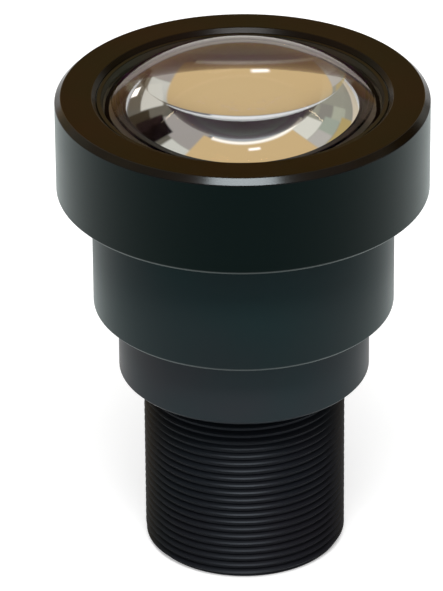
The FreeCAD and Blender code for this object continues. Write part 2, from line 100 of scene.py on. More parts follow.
def outline(node):
    """The outline as an ordered array of (radius, height), with the material on the left of the way it runs.

    It walks from place to place along the seam's edges. Loose ends are joined to the nearest loose end of the
    same height, or else to the axis, and a walk round the loop then gives the order.
    """
    places, edges = seam_graph(node)
    places = places.tolist()
    degree = np.bincount(np.array(sorted(edges)).ravel(), minlength=len(places))
    loose = [i for i in range(len(places)) for _ in range(2 - degree[i]) if places[i][0] > SEAM_WIDTH]
    while loose:
        end = loose.pop()
        level = [i for i in loose if abs(places[i][1] - places[end][1]) < SEAM_WIDTH and i != end]
        if level:
            other = min(level, key=lambda i: abs(places[i][0] - places[end][0]))
            loose.remove(other)
        else:
            other = len(places)
            places.append([0.0, places[end][1]])
        edges.add(tuple(sorted((end, other))))
    beside = {i: [a + b - i for a, b in edges if i in (a, b)] for i in range(len(places))}
    start = min(range(len(places)), key=lambda i: (places[i][0] > SEAM_WIDTH, places[i][1]))
    order = [start]
    step = min(beside[start], key=lambda i: places[i][1])
    while step != start:
        order.append(step)
        onward = [i for i in beside[step] if i not in order[-2:]]
        if not onward:
            break
        step = onward[0]
    path = np.array([places[i] for i in order])
    turned_area = np.sum(path[:, 0] * np.roll(path[:, 1], -1) - np.roll(path[:, 0], -1) * path[:, 1])
    return path if turned_area > 0 else np.roll(path[::-1], 1, axis=0)


for name in sorted(nodes):
    path = outline(name)
    inner, outer = path[:, 0].min() / MM, path[:, 0].max() / MM
    print(f"{name:22s} {len(path):4d} places, radius {inner:6.3f} to {outer:6.3f} mm")

# %% [markdown]
# ## Lines, arcs and eased edges
#
# The CAD mesh stands in short chords for every curve. That is fine for a shell of metal, but a lens bends
# light by the slope of its surface, and chords would show as facets in the glass. So we find out which
# places of an outline lie on one circle about a point of the axis, and from then on we use the circle
# itself.
#
# No real edge is perfectly sharp either. A turned edge is broken by a few hundredths of a millimetre, and
# that small round is what catches the light along the rims of this lens. A Bevel modifier could make it,
# but on a turned piece it's simpler to round the outline's corners before the outline goes round.

# %% Lines and arcs in an outline
ON_CIRCLE = 0.4e-6


def circle_height(start, end):
    """Height of the centre of a circle about a point of the axis that goes through two places.

    Both places are equally far from it, so it is the difference of radius² + height² over twice the
    difference of height.
    """
    return (end @ end - start @ start) / (2 * (end[1] - start[1]))


def runs(path):
    """Split an outline into runs (start, end, centre height). The centre height of a straight line is None.

    Four or more neighbouring places that lie within ON_CIRCLE of one circle about the axis make an arc.
    """
    found = []
    here = 0
    while here < len(path) - 1:
        reach, centre = here + 1, None
        for far in range(here + 3, len(path)):
            if abs(path[far][1] - path[here][1]) < SEAM_WIDTH:
                break
            height = circle_height(path[here], path[far])
            if np.ptp(np.hypot(path[here:far + 1, 0], path[here:far + 1, 1] - height)) > ON_CIRCLE:
                break
            reach, centre = far, height
        found.append((path[here], path[reach], centre))
        here = reach
    return found


def arc_angles(run):
    """Radius of an arc, and the angles of its start and end above the horizontal."""
    start, end, centre = run
    angles = [np.arctan2(place[1] - centre, place[0]) for place in (start, end)]
    return np.hypot(start[0], start[1] - centre), *angles


def length(run):
    """Length of a run: the distance between its ends, or radius times angle."""
    if run[2] is None:
        return np.linalg.norm(run[1] - run[0])
    radius, first, last = arc_angles(run)
    return radius * abs(last - first)


def along(run, distances):
    """Places on a run at distances from its start, and the directions in which it goes there."""
    start, end, centre = run
    distances = np.atleast_1d(distances)[:, None]
    if centre is None:
        way = (end - start) / np.linalg.norm(end - start)
        return start + distances * way, 0 * distances + way
    radius, first, last = arc_angles(run)
    sense = np.sign(last - first)
    angle = first + sense * distances / radius
    places = np.hstack([radius * np.cos(angle), centre + radius * np.sin(angle)])
    return places, sense * np.hstack([-np.sin(angle), np.cos(angle)])


for name in ("lens_element_1", "lens_element_4"):
    path = outline(name)
    arcs = [run for run in runs(np.vstack([path, path[:1]])) if run[2] is not None]
    print(name, "has arcs of radius", [round(float(arc_angles(run)[0] / MM), 3) for run in arcs], "mm")

# %% A smooth profile with eased corners
EASE_STEPS = 3
ARC_STRIDE = 0.2 * MM
LARGEST_CUT = 0.3


def traced(path, ease, closed=True, steps=EASE_STEPS):
    """Places and outward leans along an outline, with each corner rounded over the length ease on both sides.

    An arc gets a place every ARC_STRIDE. A corner becomes the curve (1-t)² a + 2 t (1-t) corner + t² b
    between the places a and b at which its two runs stop, and takes at most LARGEST_CUT of a run. The
    outward lean is the direction of travel turned to the right.
    """
    spans = runs(np.vstack([path, path[:1]]) if closed else path)
    spans = [run for run in spans if max(run[0][0], run[1][0]) > SEAM_WIDTH]
    joined = [a[1][0] > SEAM_WIDTH and np.allclose(a[1], b[0]) for a, b in zip(spans, spans[1:] + spans[:1])]
    lengths = np.array([length(run) for run in spans])
    cuts = np.minimum(ease, LARGEST_CUT * np.minimum(lengths, np.roll(lengths, -1))) * joined
    places, ways = [], []
    for number, run in enumerate(spans):
        first, last = cuts[number - 1], lengths[number] - cuts[number]
        count = 2 if run[2] is None else 2 + int((last - first) / ARC_STRIDE)
        on_run = along(run, np.linspace(first, last, count))
        places.append(on_run[0])
        ways.append(on_run[1])
        if joined[number]:
            onward = spans[(number + 1) % len(spans)]
            before = on_run[0][-1]
            after = along(onward, cuts[number])[0][0]
            t = np.arange(1, steps + 1)[:, None] / (steps + 1)
            places.append((1 - t) ** 2 * before + 2 * t * (1 - t) * run[1] + t ** 2 * after)
            ways.append((1 - t) * (run[1] - before) + t * (after - run[1]))
    places, ways = np.vstack(places), np.vstack(ways)
    ways /= np.linalg.norm(ways, axis=1, keepdims=True)
    leans = np.column_stack([ways[:, 1], -ways[:, 0]])
    if joined[-1]:
        return np.vstack([places, places[:1]]), np.vstack([leans, leans[:1]])
    return places, leans


profile, leans = traced(outline("lens_element_1"), 0.03 * MM)
print("front glass:", len(profile), "places; lean at its top", np.round(leans[-1], 6).tolist())

# %% [markdown]
# ## From grids to one closed skin
#
# Every surface here is a grid: its rows follow the outline and its columns go round the axis. A grid
# brings its own exact leans, so the shading doesn't depend on how fine it is. Where rows meet at the
# axis, or two grids share an edge, their places are the same, and we merge those. A cell that loses a
# corner this way becomes a triangle, and one that loses two is dropped. What is left has every edge in
# exactly two faces, which is what closed means.

# %% Grids made into a mesh
TICK = 2e-8
TICK_OFFSET = 0.37
KEEP_LEAN = 0.75


def skin(name, grids, finishes, pick=None):
    """One closed mesh from grids of (places, leans), each an array of rows by columns by 3.

    Places that round to the same tick are merged, and TICK_OFFSET keeps round sizes off the border between
    two ticks. A face's corner keeps the lean of its grid, unless the face itself points elsewhere, such as
    the wall of a slot: where their cosine is under KEEP_LEAN it takes the face's own. pick, given the
    middles and normals of the faces, says which of the finishes each face gets.
    """
    places = np.concatenate([grid[0].reshape(-1, 3) for grid in grids])
    leans = np.concatenate([grid[1].reshape(-1, 3) for grid in grids])
    cells, start = [], 0
    for grid in grids:
        rows, columns = grid[0].shape[:2]
        index = start + np.arange(rows * columns).reshape(rows, columns)
        around = [index[:-1, :-1], index[:-1, 1:], index[1:, 1:], index[1:, :-1]]
        cells.append(np.stack(around, -1).reshape(-1, 4))
        start += rows * columns
    cells = np.concatenate(cells)
    ticks = np.round(places / TICK + TICK_OFFSET).astype(np.int64)
    _, first, merged = np.unique(ticks, axis=0, return_index=True, return_inverse=True)
    corners = merged.ravel()[cells]
    apart = corners != np.roll(corners, -1, axis=1)
    whole = apart.sum(1) >= 3
    corners, cells, apart = corners[whole], cells[whole], apart[whole]
    spots = places[first][corners]
    facing = np.cross(spots[:, 2] - spots[:, 0], spots[:, 3] - spots[:, 1])
    facing /= np.linalg.norm(facing, axis=1, keepdims=True)
    lean = leans[cells]
    agree = np.einsum("fki,fi->fk", lean, facing) > KEEP_LEAN
    lean = np.where(agree[..., None], lean, facing[:, None, :])[apart]
    loops, sizes = corners[apart], apart.sum(1)

    mesh = bpy.data.meshes.new(name)
    mesh.vertices.add(len(first))
    mesh.vertices.foreach_set("co", places[first].ravel())
    mesh.loops.add(len(loops))
    mesh.loops.foreach_set("vertex_index", loops.astype(np.int32))
    mesh.polygons.add(len(sizes))
    mesh.polygons.foreach_set("loop_start", (np.cumsum(sizes) - sizes).astype(np.int32))
    mesh.update(calc_edges=True)
    for finish in finishes:
        mesh.materials.append(finish)
    if pick is not None:
        mesh.polygons.foreach_set("material_index", pick(spots.mean(1), facing).astype(np.int32))
    mesh.normals_split_custom_set(lean)
    piece = bpy.data.objects.new(name, mesh)
    bpy.context.scene.collection.objects.link(piece)

    onward = np.concatenate([np.roll(part, -1) for part in np.split(loops, np.cumsum(sizes)[:-1])])
    edges = np.sort(np.column_stack([loops, onward]), axis=1)
    uses = np.unique(edges, axis=0, return_counts=True)[1]
    print(f"{name:26s} {int((sizes - 2).sum()):6d} triangles, {int((uses != 2).sum())} open edges")
    return piece


def round_angles(columns):
    """Angles once round, where the last column repeats the first exactly."""
    return 2 * np.pi * (np.arange(columns + 1) % columns) / columns


def lathe(profile, leans, columns):
    """A profile carried round the axis: (radius cos angle, radius sin angle, height), its leans likewise."""
    angle = round_angles(columns)
    grids = []
    for across, up in (profile.T, leans.T):
        grids.append(np.stack([
            across[:, None] * np.cos(angle),
            across[:, None] * np.sin(angle),
            up[:, None] + 0 * angle,
        ], axis=-1))
    return tuple(grids)


def stand_in(piece, node):
    """The piece rides on the lens and stands for its CAD node, which is hidden."""
    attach(piece, "root")
    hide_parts(node)


# %% [markdown]
# ## Black anodised aluminium
#
# Anodising leaves a hard, slightly porous layer that takes a black dye. It isn't dead black: it has a
# satin sheen, turns a little greenish or purplish from place to place, and the tool's fine marks run
# round the piece under it. The marks depend on radius and height only, so the pattern reads those two
# numbers instead of x, y and z. Then every mark closes on itself round the axis, which no texture of
# straight stripes would do.
#
# The colour goes by zones of height, and the head has a darker tone than the step. Faces that look up,
# such as the front face, carry a thin brownish film that is partly dust and partly painted reflection of
# the warm card behind the lens; the thread doesn't get it. The sides of the front barrel have a faint
# haze, which only shows where we look along the surface, and so the barrel gets paler towards its
# outline. The bores and the rings have tones of their own. The thread is far darker than the collar,
# though both are one anodised piece: that dark tone is painted shade, for the shade round the lens's
# foot. The chamfer round the head is burnished: hands have polished it.

# %% Helpers for materials
def add(tree, kind, inputs=None, **settings):
    """A new node with its settings, and its inputs set to values or linked to sockets."""
    made = tree.nodes.new(kind)
    for key, setting in settings.items():
        setattr(made, key, setting)
    for key, source in (inputs or {}).items():
        if isinstance(source, bpy.types.NodeSocket):
            tree.links.new(source, made.inputs[key])
        else:
            made.inputs[key].default_value = source
    return made


def new_finish(name, **sockets):
    """A material, its node tree and its shader, with the shader's sockets set."""
    finish = bpy.data.materials.new(name)
    finish.use_nodes = True
    shader = finish.node_tree.nodes["Principled BSDF"]
    for socket, amount in sockets.items():
        shader.inputs[socket.replace("_", " ")].default_value = amount
    return finish, finish.node_tree, shader


def turned_place(tree):
    """(radius, 0, height) of the shaded point, from its object coordinates."""
    place = add(tree, "ShaderNodeTexCoord").outputs["Object"]
    parts = add(tree, "ShaderNodeSeparateXYZ", {"Vector": place})
    flat = add(tree, "ShaderNodeCombineXYZ", {"X": parts.outputs["X"], "Y": parts.outputs["Y"]})
    radius = add(tree, "ShaderNodeVectorMath", {0: flat.outputs[0]}, operation="LENGTH")
    turned = {"X": radius.outputs["Value"], "Z": parts.outputs["Z"]}
    return add(tree, "ShaderNodeCombineXYZ", turned).outputs[0]


def mottle(tree, scale, low, high, place=None, detail=2.0):
    """Noise with so many patches a metre, stretched from its usual 0.3 to 0.7 onto the range low to high."""
    place = place or add(tree, "ShaderNodeTexCoord").outputs["Object"]
    noise = add(tree, "ShaderNodeTexNoise", {"Vector": place, "Scale": scale, "Detail": detail})
    spread = {"Value": noise.outputs["Fac"], "From Min": 0.3, "From Max": 0.7, "To Min": low, "To Max": high}
    return add(tree, "ShaderNodeMapRange", spread).outputs["Result"]


def blended(tree, factor, first, second, **settings):
    """A colour between two others, which are colours or sockets. The settings can make it their product."""
    mix = add(tree, "ShaderNodeMix", {"Factor": factor}, data_type="RGBA", **settings)
    for socket, colour in (("A", first), ("B", second)):
        if isinstance(colour, bpy.types.NodeSocket):
            tree.links.new(colour, mix.inputs[socket])
        else:
            mix.inputs[socket].default_value = (*colour, 1)
    return mix.outputs["Result"]


def emboss(tree, shader, height, distance):
    """Fine relief: the height moves the shading normal as if the surface rose by up to the distance."""
    relief = add(tree, "ShaderNodeBump", {"Height": height, "Strength": 1.0, "Distance": distance})
    tree.links.new(relief.outputs["Normal"], shader.inputs["Normal"])


def roughen(tree, shader, scale, mean, spread=0.05, place=None):
    """Roughness that varies in patches, by up to the spread on both sides of its mean."""
    patches = mottle(tree, scale, mean - spread, mean + spread, place)
    tree.links.new(patches, shader.inputs["Roughness"])


# %% The finish of anodised metal
MARKS_PER_METRE = 7000
GRAINS_PER_METRE = 15000
HUES_PER_METRE = 130
ROUGHNESS_SPREAD = 0.04
FADE = 0.2 * MM
# Partly dust, partly painted reflection: a brownish film on faces that look up, for the warm card's light.
DUST_AND_REFLECTION_FILM = (0.0135, 0.0058, 0.0)
LOOKS_UP = {"From Min": 0.5, "From Max": 0.95}
DYE_HUE = (0.45, 1.0, 1.0)
GREENISH = (0.80, 1.05, 1.06)
PURPLISH = (1.20, 0.95, 1.0)
HAZE_TINT = (0.88, 1.0, 0.98)


def by_height(tree, tones):
    """A colour for each zone of height. tones holds (height of the zone's foot, colour), bottom up."""
    colour = tones[0][1]
    for foot, tone in tones[1:]:
        place = add(tree, "ShaderNodeTexCoord").outputs["Object"]
        height = add(tree, "ShaderNodeSeparateXYZ", {"Vector": place}).outputs["Z"]
        across = {"Value": height, "From Min": foot - FADE, "From Max": foot + FADE}
        factor = add(tree, "ShaderNodeMapRange", across).outputs["Result"]
        colour = blended(tree, factor, colour, tone)
    return colour


def anodised(name, tones, roughness, shine, mark_height, haze=0.0, hue=DYE_HUE, dust_and_reflection=1.0):
    """Black anodising: its colour goes by zones, and tint, roughness, tool marks and grain vary.

    Faces that look up have a brownish film over the tone of the dye, partly settled dirt and partly painted
    reflection of warm light; the last argument sets how thick it is, from 0 to 1. The sides have a haze of
    weight haze, and hue tints what the piece reflects.
    """
    finish, tree, shader = new_finish(name, Specular_IOR_Level=shine, IOR=1.5, Specular_Tint=(*hue, 1),
                                      Sheen_Roughness=0.4, Sheen_Tint=(*HAZE_TINT, 1))
    facing = add(tree, "ShaderNodeTexCoord").outputs["Normal"]
    up = add(tree, "ShaderNodeSeparateXYZ", {"Vector": facing}).outputs["Z"]
    # Painted reflection as well as dust: faces that look up get the brownish film.
    dust_and_reflection_mask = add(tree, "ShaderNodeMapRange", {"Value": up, "To Max": dust_and_reflection, **LOOKS_UP}).outputs["Result"]
    if haze > 0:
        fading = {"Value": up, "To Min": haze, "To Max": 0, **LOOKS_UP}
        hazy = add(tree, "ShaderNodeMapRange", fading).outputs["Result"]
        tree.links.new(hazy, shader.inputs["Sheen Weight"])
    base = blended(tree, dust_and_reflection_mask, by_height(tree, tones), DUST_AND_REFLECTION_FILM)
    tint = blended(tree, mottle(tree, HUES_PER_METRE, 0, 1), GREENISH, PURPLISH)
    tree.links.new(blended(tree, 1.0, base, tint, blend_type="MULTIPLY"), shader.inputs["Base Color"])
    marks = mottle(tree, MARKS_PER_METRE, 0, 1, turned_place(tree), detail=3.0)
    grain = mottle(tree, GRAINS_PER_METRE, 0, 1)
    height = add(tree, "ShaderNodeMath", {0: marks, 1: grain}, operation="ADD").outputs[0]
    emboss(tree, shader, height, mark_height)
    roughen(tree, shader, 2 * HUES_PER_METRE, roughness, ROUGHNESS_SPREAD, turned_place(tree))
    return finish


# %% The tones of each zone
STEP_TONE = (0.0095, 0.0172, 0.0185)
HEAD_TONE = (0.0, 0.0026, 0.0022)
# Painted shade: the thread is far darker than the collar of the same piece, for the shade round the foot.
SHADED_THREAD_TONE = (0.0066, 0.0070, 0.0096)
COLLAR_TONE = (0.0225, 0.0250, 0.0285)
BORE_TONE = (0.004, 0.0045, 0.004)
LIP_TONE = (0.036, 0.029, 0.019)
EDGE_TONE = (0.002, 0.002, 0.002)
# Painted reflection: the black spacer's purple tint, seen through the glass, stands in for the coating's
# purple reflection.
PURPLE_REFLECTION_SPACER_TONE = (0.054, 0.006, 0.050)
NO_HUE = (1, 1, 1)
IN_HEAD = 0.95

barrel = outline("front_barrel")
head_foot = barrel[barrel[:, 0] > IN_HEAD * barrel[:, 0].max(), 1].min()
front_black = anodised("front_barrel_anodising", [(0, STEP_TONE), (head_foot, HEAD_TONE)],
                       roughness=0.37, shine=0.035, mark_height=0.7e-6, haze=0.40)
rear_black = anodised("rear_barrel_anodising", [(0, COLLAR_TONE)],
                      roughness=0.37, shine=0.10, mark_height=0.7e-6)
# The thread's dark tone is painted shade.
shaded_thread_black = anodised("thread_anodising_painted_shade", [(0, SHADED_THREAD_TONE)],
                        roughness=0.42, shine=0.21, mark_height=0.5e-6, hue=(0.8, 0.9, 1), dust_and_reflection=0.0)
ring_black = anodised("ring_anodising", [(0, BORE_TONE)],
                      roughness=0.42, shine=0.10, mark_height=0.7e-6)
bore_black = anodised("matt_black_bore", [(0, BORE_TONE)],
                      roughness=0.55, shine=0.10, mark_height=1.5e-6)
# A black spacer whose purple tint is painted reflection.
spacer_painted_purple = anodised("black_spacer_painted_purple_reflection", [(0, PURPLE_REFLECTION_SPACER_TONE)],
                        roughness=0.50, shine=0.10, mark_height=1e-6)
burnished = anodised("burnished_edge", [(0, EDGE_TONE)],
                     roughness=0.17, shine=0.36, mark_height=0.3e-6, hue=(0.85, 0.95, 1))
mouth_edge = anodised("satin_mouth_edge", [(0, EDGE_TONE)],
                      roughness=0.26, shine=0.13, mark_height=0.4e-6, hue=NO_HUE)
# The bores of the rings get a paler, brownish tone.
pale_lip_black = anodised("pale_ring_lip", [(0, LIP_TONE)],
                     roughness=0.40, shine=0.08, mark_height=0.7e-6, hue=NO_HUE)
print("finishes:", [finish.name for finish in bpy.data.materials])

# %% [markdown]
# ## The front barrel
#
# The wide head and the middle step are one turned piece, with stepped bores inside for the front
# elements. Its outline comes from the CAD node, its corners are eased by 0.05 mm, and the lathe function
# carries it round. 224 columns leave a chord error of about a ten-thousandth of the radius, about 1
# micrometre, which no render shows.

# %% Front barrel
METAL_EASE = 0.05 * MM
METAL_COLUMNS = 224
OUTSIDE = 0.98
LEANS_INWARD = 0.1
CHAMFER_LEAN = 0.6
CHAMFER_SPREAD = 0.35
NO_RIM = 1.0


def parts_of(outer_radius, rim=NO_RIM):
    """Picks the faces of a barrel: 1 for the bores, 2 and 3 for outer and inner chamfer above rim, or else 0.

    A face of the bores looks inwards, lies well inside and is below the rim.
    """
    def pick(middles, normals):
        radius = np.hypot(middles[:, 0], middles[:, 1])
        inward = (middles[:, :2] * normals[:, :2]).sum(1) < -LEANS_INWARD * radius
        bore = inward & (radius < outer_radius * OUTSIDE) & (middles[:, 2] < rim)
        edge = (middles[:, 2] > rim) & (abs(normals[:, 2] - CHAMFER_LEAN) < CHAMFER_SPREAD)
        return bore + edge * np.where(inward, 3, 2)
    return pick


path = outline("front_barrel")
head_radius = path[:, 0].max()
on_side = path[path[:, 0] > head_radius - SEAM_WIDTH, 1]
head_rim = on_side.max() - METAL_EASE
piece = skin("front_barrel_turned", [lathe(*traced(path, METAL_EASE), METAL_COLUMNS)],
             [front_black, bore_black, burnished, mouth_edge], parts_of(head_radius, head_rim))
stand_in(piece, "front_barrel")

# %% [markdown]
# ## The thread
#
# The mounting thread is a true helix: one groove that climbs half a millimetre a turn. As a surface it is
# the same two-parameter grid as before with one change: the rows climb by one pitch over a turn, so after
# a turn a row meets the row one pitch above it. Rows that would leave the threaded length are clamped to
# its two ends, where they all fall on one circle and merge.
#
# The pitch, the crests and the roots are read from the teeth in the outline. Use has worn the sharp edges
# of the crest to a small slope of about 45 degrees, and that slope is what catches the lamp in front.
#
# The rest of the rear barrel, from the neck round the collar and down through the bore to the rear end,
# is lathed as one open profile. Its first row takes over the radii at which the thread ends, so that the
# two grids share that edge and merge there.

# %% The tooth, from the seam
def mount_named(name):
    """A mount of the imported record."""
    return [mount for mount in frame["record"]["mounts"] if mount["name"] == name][0]


thread = mount_named("m12_thread")["dims"]
crest = thread["r_mm"] * MM
thread_top = thread["length_mm"] * MM
CLEAR_OF_LEAD_IN = 1 * MM
IN_TEETH = 0.94
FLANK_SLOPE = np.radians(30)

path = outline("rear_barrel")
on_thread = (path[:, 1] < thread_top + SEAM_WIDTH) & (path[:, 0] > IN_TEETH * crest)
teeth = path[on_thread & (path[:, 1] > CLEAR_OF_LEAD_IN) & (path[:, 1] < thread_top - SEAM_WIDTH)]
root = teeth[:, 0].min()
root_heights = np.sort(teeth[teeth[:, 0] < root + SEAM_WIDTH, 1])
pitch = np.median(root_heights[2:] - root_heights[:-2])
root_pairs = np.flatnonzero(np.diff(root_heights) < pitch / 2)
half_root = np.median(np.diff(root_heights)[root_pairs]) / 2
groove = np.mean((root_heights[root_pairs] + half_root) % pitch)
half_top = half_root + (crest - root) * np.tan(FLANK_SLOPE)
print(f"thread: pitch {pitch / MM:.4f}, root radius {root / MM:.4f}, groove at {groove / MM:.4f} mm")

# %% The thread as a climbing grid
THREAD_COLUMNS = 160
THREAD_EASE = 0.03 * MM
WORN_FLANK = 0.085 * MM
WORN_TOP = 0.029 * MM
lead_radius = path[abs(path[:, 1]) < SEAM_WIDTH, 0].max()

worn_radius = crest - WORN_FLANK * np.cos(FLANK_SLOPE)
worn_height = half_top - WORN_FLANK * np.sin(FLANK_SLOPE)
one_turn = np.array([
    (root, 0),
    (root, half_root),
    (worn_radius, worn_height),
    (crest, half_top + WORN_TOP),
    (crest, pitch - half_top - WORN_TOP),
    (worn_radius, pitch - worn_height),
    (root, pitch - half_root),
    (root, pitch),
])
tooth, tooth_leans = traced(one_turn, THREAD_EASE, closed=False, steps=1)
turns = np.arange(-2, int(thread_top / pitch) + 2)
heights = (groove + turns[:, None] * pitch + tooth[:-1, 1]).ravel()
radii = np.tile(tooth[:-1, 0], len(turns))
across = np.tile(tooth_leans[:-1, 0], len(turns))
up = np.tile(tooth_leans[:-1, 1], len(turns))


def thread_grid(columns):
    """Rows climb by pitch * angle / a turn and are clamped to the threaded length.

    The radius is that of the tooth at (height - climb), but no more than the cone of the lead-in, which is
    lead_radius + height.
    """
    climb = pitch * np.arange(columns + 1) / columns
    height = np.clip(heights[:, None] + climb, 0, thread_top)
    phase = height - climb
    radius = np.interp(phase, heights, radii)
    lean = np.stack([np.interp(phase, heights, across), np.interp(phase, heights, up)])
    cone = lead_radius + height
    lean = np.where(cone < radius, np.array([1, -1])[:, None, None] / np.sqrt(2), lean)
    radius = np.minimum(radius, cone)
    angle = round_angles(columns)
    places = np.stack([radius * np.cos(angle), radius * np.sin(angle), height], axis=-1)
    leans = np.stack([lean[0] * np.cos(angle), lean[0] * np.sin(angle), lean[1]], axis=-1)
    return places, leans


coils = thread_grid(THREAD_COLUMNS)
top_radii = np.hypot(coils[0][-1, :, 0], coils[0][-1, :, 1])
least, most = top_radii.min() / MM, top_radii.max() / MM
print(f"thread: {len(heights)} rows, top edge at radius {least:.3f} to {most:.3f} mm")

# %% The rest of the rear barrel
shift = -int(np.flatnonzero(on_thread)[-1])
rest = np.roll(path, shift, axis=0)[~np.roll(on_thread, shift)]
rest = np.vstack([[crest, thread_top], rest, [lead_radius, 0]])
core = lathe(*traced(rest, METAL_EASE, closed=False), THREAD_COLUMNS)
core[0][0, :, 0] = top_radii * np.cos(round_angles(THREAD_COLUMNS))
core[0][0, :, 1] = top_radii * np.sin(round_angles(THREAD_COLUMNS))
collar_radius = path[:, 0].max()


def collar_or_thread(middles, normals):
    """1 for the bores, 2 for the faces of the thread, 0 for the collar and the neck."""
    choice = parts_of(collar_radius)(middles, normals)
    choice[(choice == 0) & (middles[:, 2] > SEAM_WIDTH) & (middles[:, 2] < thread_top)] = 2
    return choice


piece = skin("rear_barrel_threaded", [coils, core], [rear_black, bore_black, shaded_thread_black], collar_or_thread)
stand_in(piece, "rear_barrel")

# %% [markdown]
# ## Rings with spanner slots
#
# Three screwed rings hold the stack of glass, and each has two slots for a spanner. The slots have
# parallel walls, so the columns beside a slot can't sit at a fixed angle: a column at the wall of a slot
# of half width w lies arcsin(w / radius) away from the slot's middle, which changes from row to row. Two
# columns stand there on the same line, one on the ring's face and one down on the slot's floor, and the
# cells between them are the wall.

# %% Slotted rings
SLOT_COLUMNS = 8
PLAIN_COLUMNS = 88


def slot_of(node):
    """Half width and floor height of a ring's slots.

    Of the heights that the seam doesn't have, the floor's has the most vertices, and they reach out to the
    walls.
    """
    mesh = nodes[node].data
    places = np.empty(3 * len(mesh.vertices))
    mesh.vertices.foreach_get("co", places)
    places = places.reshape(-1, 3)
    on_seam = abs(places[:, 2, None] - outline(node)[:, 1]).min(1) < SEAM_WIDTH
    levels, uses = np.unique(np.round(places[~on_seam, 2] / SEAM_WIDTH), return_counts=True)
    floor = levels[uses.argmax()] * SEAM_WIDTH
    return abs(places[abs(places[:, 2] - floor) < SEAM_WIDTH, 0]).max(), floor


def slotted_lathe(profile, leans, half_width, floor):
    """A profile carried round through four sectors: a slot at +Y, plain ring, a slot at -Y, plain ring.

    A slot spans the angles within arcsin(half_width / radius) of its middle. In it, heights stop at the
    floor. A floor above the middle height of the ring belongs to slots in its top, and one below it to
    slots in its bottom.
    """
    radius, height = profile.T
    clamp = np.minimum if floor > (height.min() + height.max()) / 2 else np.maximum
    reach = np.arcsin(half_width / radius)[:, None]
    slot = np.linspace(-1, 1, SLOT_COLUMNS + 1) * reach
    plain = reach + np.linspace(0, 1, PLAIN_COLUMNS + 1) * (np.pi - 2 * reach)
    angles = np.hstack([slot, plain, np.pi + slot, np.pi + plain, slot[:, :1]]) + np.pi / 2
    angles[:, -1] = angles[:, 0]
    low = clamp(height, floor)[:, None] + 0 * slot
    high = height[:, None] + 0 * plain
    heights = np.hstack([low, high, low, high, low[:, :1]])
    across = radius[:, None]
    places = np.stack([across * np.cos(angles), across * np.sin(angles), heights], axis=-1)
    tilt = leans[:, :1]
    lean = np.stack([tilt * np.cos(angles), tilt * np.sin(angles), leans[:, 1:] + 0 * angles], axis=-1)
    return places, lean


RING_EASE = 0.04 * MM
FACES_AXIS = 0.5
AT_BORE = 1.01


def lip_of(bore_radius):
    """Picks the faces of a ring's bore, which get a paler and browner tone than the rest."""
    def pick(middles, normals):
        radius = np.hypot(middles[:, 0], middles[:, 1])
        inward = (middles[:, :2] * normals[:, :2]).sum(1) < -FACES_AXIS * radius
        return (inward & (radius < AT_BORE * bore_radius)).astype(int)
    return pick


for name in ("front_retaining_ring", "stop_retaining_ring", "rear_retaining_ring"):
    half_width, floor = slot_of(name)
    print(f"{name}: slots {2 * half_width / MM:.3f} mm wide, floor at {floor / MM:.3f} mm")
    path = outline(name)
    grid = slotted_lathe(*traced(path, RING_EASE), half_width, floor)
    stand_in(skin(f"{name}_slotted", [grid], [ring_black, pale_lip_black], lip_of(path[:, 0].min())), name)

# %% [markdown]
# ## Glass
#
# A glass element is a closed skin with polished faces and a ground edge. The shader's IOR bends the
# light, and each element gets the index of an optical glass that such a lens could use. Makers paint the
# ground edge black, because light that strikes it would fog the picture, so the faces of the edge get a
# second finish. Only the front element has a bare edge: it shows through the dome as an olive-brown zone
# inside the ring, and that olive-brown tone is painted reflection.
#
# Every polished surface carries a coating. It is a layer a quarter of a wavelength thick, about 100
# nanometres, and it takes most of the reflection away in green and less of it in red and blue. The shader
# has a thin film of its own for that, so the purple tint isn't painted: it comes out of the thickness.

# %% Glass and edge paint
COATING_INDEX = 1.38
WIPES_PER_METRE = 700
WIPING_MARKS = 0.004
CLOUDS_PER_METRE = 420
CLEAR = (1.0, 1.0, 1.0)
CLOUDED = (0.985, 0.99, 0.995)
SHADES_PER_METRE = 300
GLOSS_PER_METRE = 900
RINGS_PER_METRE = 500
GRIT_PER_METRE = 4000
GRIT_DEPTH = 1e-6


def coated(name, index, film, coating=COATING_INDEX):
    """Optical glass under a coating that is film nanometres thick. Faint wiping marks vary its polish."""
    finish, tree, shader = new_finish(name, IOR=index, Transmission_Weight=1.0,
                                      Thin_Film_Thickness=film, Thin_Film_IOR=coating)
    clouds = mottle(tree, CLOUDS_PER_METRE, 0, 1, detail=4.0)
    tree.links.new(blended(tree, clouds, CLEAR, CLOUDED), shader.inputs["Base Color"])
    tree.links.new(mottle(tree, WIPES_PER_METRE, 0, WIPING_MARKS, detail=4.0), shader.inputs["Roughness"])
    return finish


def painted(name, tone, roughness, grain):
    """A matt black coat with a fine grain, in shades from its tone to 1.5 times that."""
    finish, tree, shader = new_finish(name, Specular_IOR_Level=0.2)
    shades = mottle(tree, SHADES_PER_METRE, 0, 1)
    tree.links.new(blended(tree, shades, [tone] * 3, [1.5 * tone] * 3), shader.inputs["Base Color"])
    emboss(tree, shader, mottle(tree, GRAINS_PER_METRE, 0, 1), grain)
    roughen(tree, shader, GLOSS_PER_METRE, roughness)
    return finish


def ground(name, tone, roughness):
    """A fine-ground, unpainted edge of glass, in rings from 0.6 of its tone to all of it."""
    finish, tree, shader = new_finish(name, Specular_IOR_Level=0.5)
    rings = mottle(tree, RINGS_PER_METRE, 0, 1, turned_place(tree))
    tree.links.new(blended(tree, rings, [0.6 * part for part in tone], tone), shader.inputs["Base Color"])
    emboss(tree, shader, mottle(tree, GRIT_PER_METRE, 0, 1), GRIT_DEPTH)
    roughen(tree, shader, GLOSS_PER_METRE, roughness)
    return finish


edge_paint = painted("black_edge_paint", tone=0.008, roughness=0.6, grain=1.5e-6)
